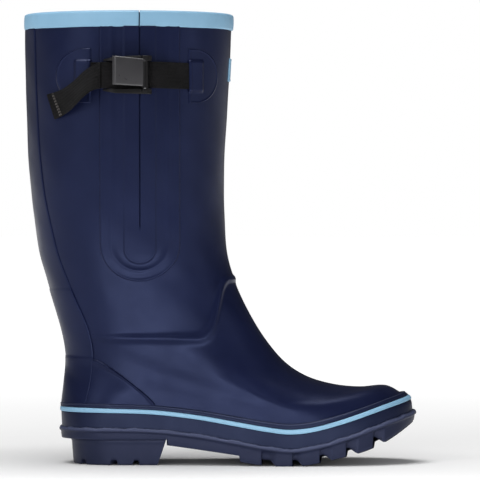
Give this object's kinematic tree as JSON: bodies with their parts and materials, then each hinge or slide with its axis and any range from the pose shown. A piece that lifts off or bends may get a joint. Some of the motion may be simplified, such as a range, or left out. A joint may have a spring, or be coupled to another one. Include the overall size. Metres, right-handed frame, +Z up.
{
  "type": "rubber boot",
  "caption": "Calf-high rubber boot for the right foot, with a folded side gusset, a webbing strap and cam buckle, contrast rim and sole stripe, and a cleated sole.",
  "frame": {"origin": "middle of the heel's diamond tread lug, on the ground", "axes": "+X towards the toe, +Y towards the inner side of the leg, +Z up. The strap and gusset face -Y"},
  "size_m": [0.3027, 0.1349, 0.3472],
  "materials": {
    "navy_rubber": "matt with a low sheen",
    "sole_rubber": "matt, textured tread",
    "light_blue_rubber": "satin",
    "black_webbing": "ribbed woven tape",
    "black_plastic": "smooth moulded",
    "steel": "plain",
    "cotton_lining": "knitted cotton",
    "fibre_board": "pressed fibre board",
    "cork_filler": "granulated cork",
    "footbed_foam": "cloth-faced foam"
  },
  "bodies": {
    "boot": {"adjusting_strap": "black_webbing", "anchor_strap": "black_webbing", "back_stay": "navy_rubber", "buckle_frame": "black_plastic", "buckle_pin": "steel", "footbed": "footbed_foam", "forefoot_filler": "cork_filler", "foxing": "navy_rubber", "foxing_stripe": "light_blue_rubber", "front_badge": "light_blue_rubber", "front_strap_patch": "navy_rubber", "gusset_bellows": "navy_rubber", "gusset_surround": "navy_rubber", "heel_block": "sole_rubber", "heel_counter": "navy_rubber", "heel_filler": "cork_filler", "insole_board": "fibre_board", "leg": "navy_rubber", "lining": "cotton_lining", "outsole": "sole_rubber", "rear_strap_patch": "navy_rubber", "rim_binding": "light_blue_rubber", "shank": "steel", "size_plate": "sole_rubber", "vamp": "navy_rubber"},
    "lever": {"buckle_lever": "black_plastic"},
    "tail": {"strap_tail": "black_webbing"}
  },
  "joints": [
    {"name": "lever_hinge", "type": "hinge", "parent": "boot", "child": "lever", "pos_m": [0.025, -0.07111, 0.2975], "axis": [0, 0, 1], "range_deg": [0, 100]},
    {"name": "tail_bend", "type": "hinge", "parent": "boot", "child": "tail", "pos_m": [-0.009, -0.06706, 0.2975], "axis": [0, 0, 1], "range_deg": [0, 60]}
  ]
}
